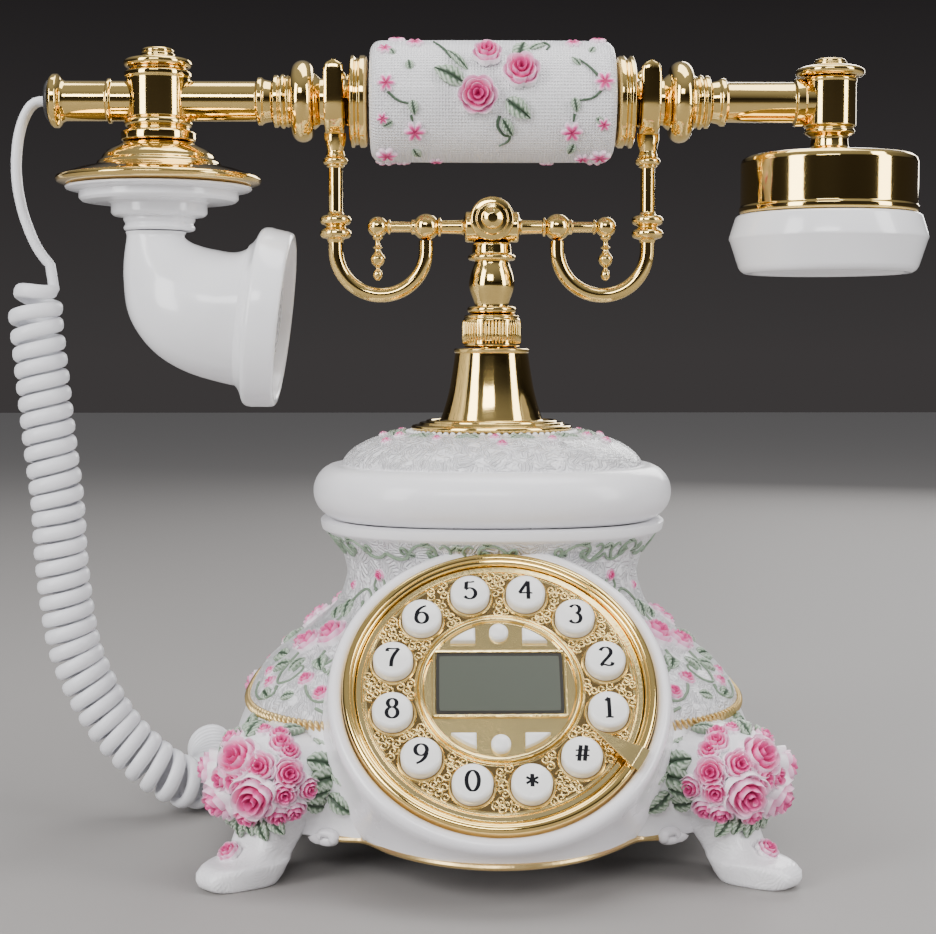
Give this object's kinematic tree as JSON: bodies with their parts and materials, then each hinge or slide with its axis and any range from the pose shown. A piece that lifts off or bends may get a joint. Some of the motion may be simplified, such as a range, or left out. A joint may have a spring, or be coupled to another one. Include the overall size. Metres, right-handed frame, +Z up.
{
  "type": "ornate table telephone",
  "caption": "Ornate push-key table telephone with a cast base on cabriole feet, a sprung cradle on a column, a swan-neck handset and a curly cord.",
  "frame": {"origin": "on the table, under the middle of the telephone without its cord", "axes": "+Z up, the dial faces -Y, the handset lies along X with the mouthpiece towards -X"},
  "size_m": [0.2828, 0.2152, 0.2411],
  "materials": {
    "pearl_resin": "cast resin, pearl white, hand painted roses",
    "white_gloss": "smooth white gloss",
    "polished_gold": "polished gold plate",
    "embossed_gold": "embossed pale gold",
    "woven_resin": "white with woven relief",
    "key_ivory": "satin white, black numerals",
    "display_glass": "grey green display",
    "black_plastic": "matt black",
    "white_plastic": "matt white",
    "clear_plastic": "clear modular plug",
    "cord_vinyl": "smooth white vinyl",
    "circuit_board": "green board",
    "steel_plate": "painted steel",
    "spring_steel": "spring wire"
  },
  "bodies": {
    "base": {"body_casting": "pearl_resin", "lid": "pearl_resin", "base_plate": "steel_plate", "dial_bezel": "polished_gold", "dial_plate": "embossed_gold", "finger_stop": "polished_gold", "display_window": "display_glass", "display_module": "black_plastic", "key_board": "circuit_board", "ringer_speaker": "black_plastic", "line_socket": "black_plastic", "cord_socket": "white_plastic", "bell_cone": "polished_gold", "knurled_nut": "polished_gold", "hook_switch": "black_plastic", "hook_spring": "spring_steel", "cord_coil": "cord_vinyl", "cord_tail": "cord_vinyl", "cord_plug": "clear_plastic"},
    "cradle": {"cradle_stem": "polished_gold", "cradle_crossbar": "polished_gold", "hook_left": "polished_gold", "hook_right": "polished_gold"},
    "handset": {"grip_sleeve": "woven_resin", "neck_left": "polished_gold", "neck_right": "polished_gold", "tube_left": "polished_gold", "tube_right": "polished_gold", "fitting_left": "polished_gold", "fitting_right": "polished_gold", "finial_left": "polished_gold", "finial_right": "polished_gold", "mouth_flange": "polished_gold", "mouth_collar": "white_gloss", "mouth_horn": "white_gloss", "mouth_grille": "white_gloss", "ear_cup": "polished_gold", "ear_cap": "white_gloss", "receiver_capsule": "black_plastic", "microphone": "black_plastic", "cord_grommet": "black_plastic", "cord_lead": "cord_vinyl"},
    "key_1": {"key_1": "key_ivory"},
    "key_2": {"key_2": "key_ivory"},
    "key_3": {"key_3": "key_ivory"},
    "key_4": {"key_4": "key_ivory"},
    "key_5": {"key_5": "key_ivory"},
    "key_6": {"key_6": "key_ivory"},
    "key_7": {"key_7": "key_ivory"},
    "key_8": {"key_8": "key_ivory"},
    "key_9": {"key_9": "key_ivory"},
    "key_0": {"key_0": "key_ivory"},
    "key_star": {"key_star": "key_ivory"},
    "key_pound": {"key_pound": "key_ivory"},
    "key_dot_top": {"key_dot_top": "key_ivory"},
    "key_dot_bottom": {"key_dot_bottom": "key_ivory"},
    "key_wedge_top_left": {"key_wedge_top_left": "key_ivory"},
    "key_wedge_top_right": {"key_wedge_top_right": "key_ivory"},
    "key_wedge_bottom_left": {"key_wedge_bottom_left": "key_ivory"},
    "key_wedge_bottom_right": {"key_wedge_bottom_right": "key_ivory"}
  },
  "joints": [
    {"name": "handset_lift", "type": "slide", "parent": "base", "child": "handset", "axis": [0, 0, 1], "range_m": [0, 0.07]},
    {"name": "hook_rise", "type": "slide", "parent": "base", "child": "cradle", "axis": [0, 0, 1], "range_m": [0, 0.004], "deforming": ["hook_spring"]},
    {"name": "press_1", "type": "slide", "parent": "base", "child": "key_1", "axis": [0, 0.7771, -0.6293], "range_m": [0, 0.0012], "stiffness_N_per_m": 400},
    {"name": "press_2", "type": "slide", "parent": "base", "child": "key_2", "axis": [0, 0.7771, -0.6293], "range_m": [0, 0.0012], "stiffness_N_per_m": 400},
    {"name": "press_3", "type": "slide", "parent": "base", "child": "key_3", "axis": [0, 0.7771, -0.6293], "range_m": [0, 0.0012], "stiffness_N_per_m": 400},
    {"name": "press_4", "type": "slide", "parent": "base", "child": "key_4", "axis": [0, 0.7771, -0.6293], "range_m": [0, 0.0012], "stiffness_N_per_m": 400},
    {"name": "press_5", "type": "slide", "parent": "base", "child": "key_5", "axis": [0, 0.7771, -0.6293], "range_m": [0, 0.0012], "stiffness_N_per_m": 400},
    {"name": "press_6", "type": "slide", "parent": "base", "child": "key_6", "axis": [0, 0.7771, -0.6293], "range_m": [0, 0.0012], "stiffness_N_per_m": 400},
    {"name": "press_7", "type": "slide", "parent": "base", "child": "key_7", "axis": [0, 0.7771, -0.6293], "range_m": [0, 0.0012], "stiffness_N_per_m": 400},
    {"name": "press_8", "type": "slide", "parent": "base", "child": "key_8", "axis": [0, 0.7771, -0.6293], "range_m": [0, 0.0012], "stiffness_N_per_m": 400},
    {"name": "press_9", "type": "slide", "parent": "base", "child": "key_9", "axis": [0, 0.7771, -0.6293], "range_m": [0, 0.0012], "stiffness_N_per_m": 400},
    {"name": "press_0", "type": "slide", "parent": "base", "child": "key_0", "axis": [0, 0.7771, -0.6293], "range_m": [0, 0.0012], "stiffness_N_per_m": 400},
    {"name": "press_star", "type": "slide", "parent": "base", "child": "key_star", "axis": [0, 0.7771, -0.6293], "range_m": [0, 0.0012], "stiffness_N_per_m": 400},
    {"name": "press_pound", "type": "slide", "parent": "base", "child": "key_pound", "axis": [0, 0.7771, -0.6293], "range_m": [0, 0.0012], "stiffness_N_per_m": 400},
    {"name": "press_dot_top", "type": "slide", "parent": "base", "child": "key_dot_top", "axis": [0, 0.7771, -0.6293], "range_m": [0, 0.0012], "stiffness_N_per_m": 400},
    {"name": "press_dot_bottom", "type": "slide", "parent": "base", "child": "key_dot_bottom", "axis": [0, 0.7771, -0.6293], "range_m": [0, 0.0012], "stiffness_N_per_m": 400},
    {"name": "press_wedge_top_left", "type": "slide", "parent": "base", "child": "key_wedge_top_left", "axis": [0, 0.7771, -0.6293], "range_m": [0, 0.0012], "stiffness_N_per_m": 400},
    {"name": "press_wedge_top_right", "type": "slide", "parent": "base", "child": "key_wedge_top_right", "axis": [0, 0.7771, -0.6293], "range_m": [0, 0.0012], "stiffness_N_per_m": 400},
    {"name": "press_wedge_bottom_left", "type": "slide", "parent": "base", "child": "key_wedge_bottom_left", "axis": [0, 0.7771, -0.6293], "range_m": [0, 0.0012], "stiffness_N_per_m": 400},
    {"name": "press_wedge_bottom_right", "type": "slide", "parent": "base", "child": "key_wedge_bottom_right", "axis": [0, 0.7771, -0.6293], "range_m": [0, 0.0012], "stiffness_N_per_m": 400}
  ],
  "couplings": [
    {"joint": "hook_rise", "follows": "handset_lift", "ratio": 0.057143}
  ]
}
